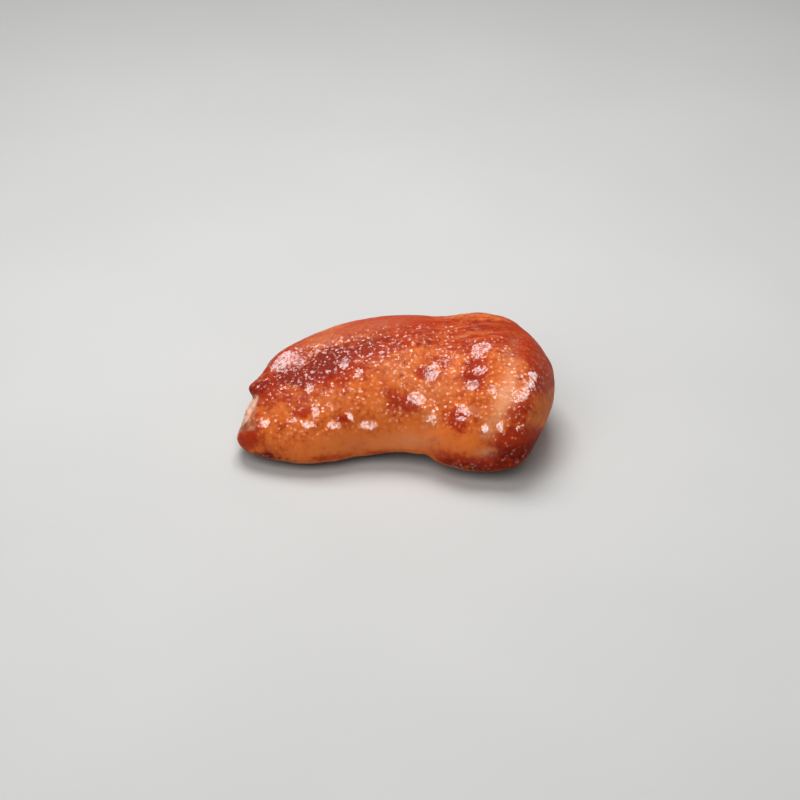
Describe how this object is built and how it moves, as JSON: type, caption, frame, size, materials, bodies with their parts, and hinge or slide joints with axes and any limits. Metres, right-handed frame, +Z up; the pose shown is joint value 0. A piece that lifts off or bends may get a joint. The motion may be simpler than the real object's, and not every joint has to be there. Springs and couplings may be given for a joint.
{
  "type": "roast duck breast",
  "caption": "Whole roasted duck breast with glossy reddish-brown skin, thick and rounded at one end, thinner and torn at the other, lying on its meat side.",
  "frame": {"origin": "bottom centre of the box around the breast, on the surface it lies on", "axes": "+X to the thick rounded end, -X to the torn end, -Y to the front edge, +Z up through the skin"},
  "size_m": [0.155, 0.1012, 0.0536],
  "materials": {
    "roasted_skin": "glossy glazed skin, brown meat underneath"
  },
  "bodies": {
    "root": {"roast_duck_breast": "roasted_skin"}
  },
  "joints": []
}
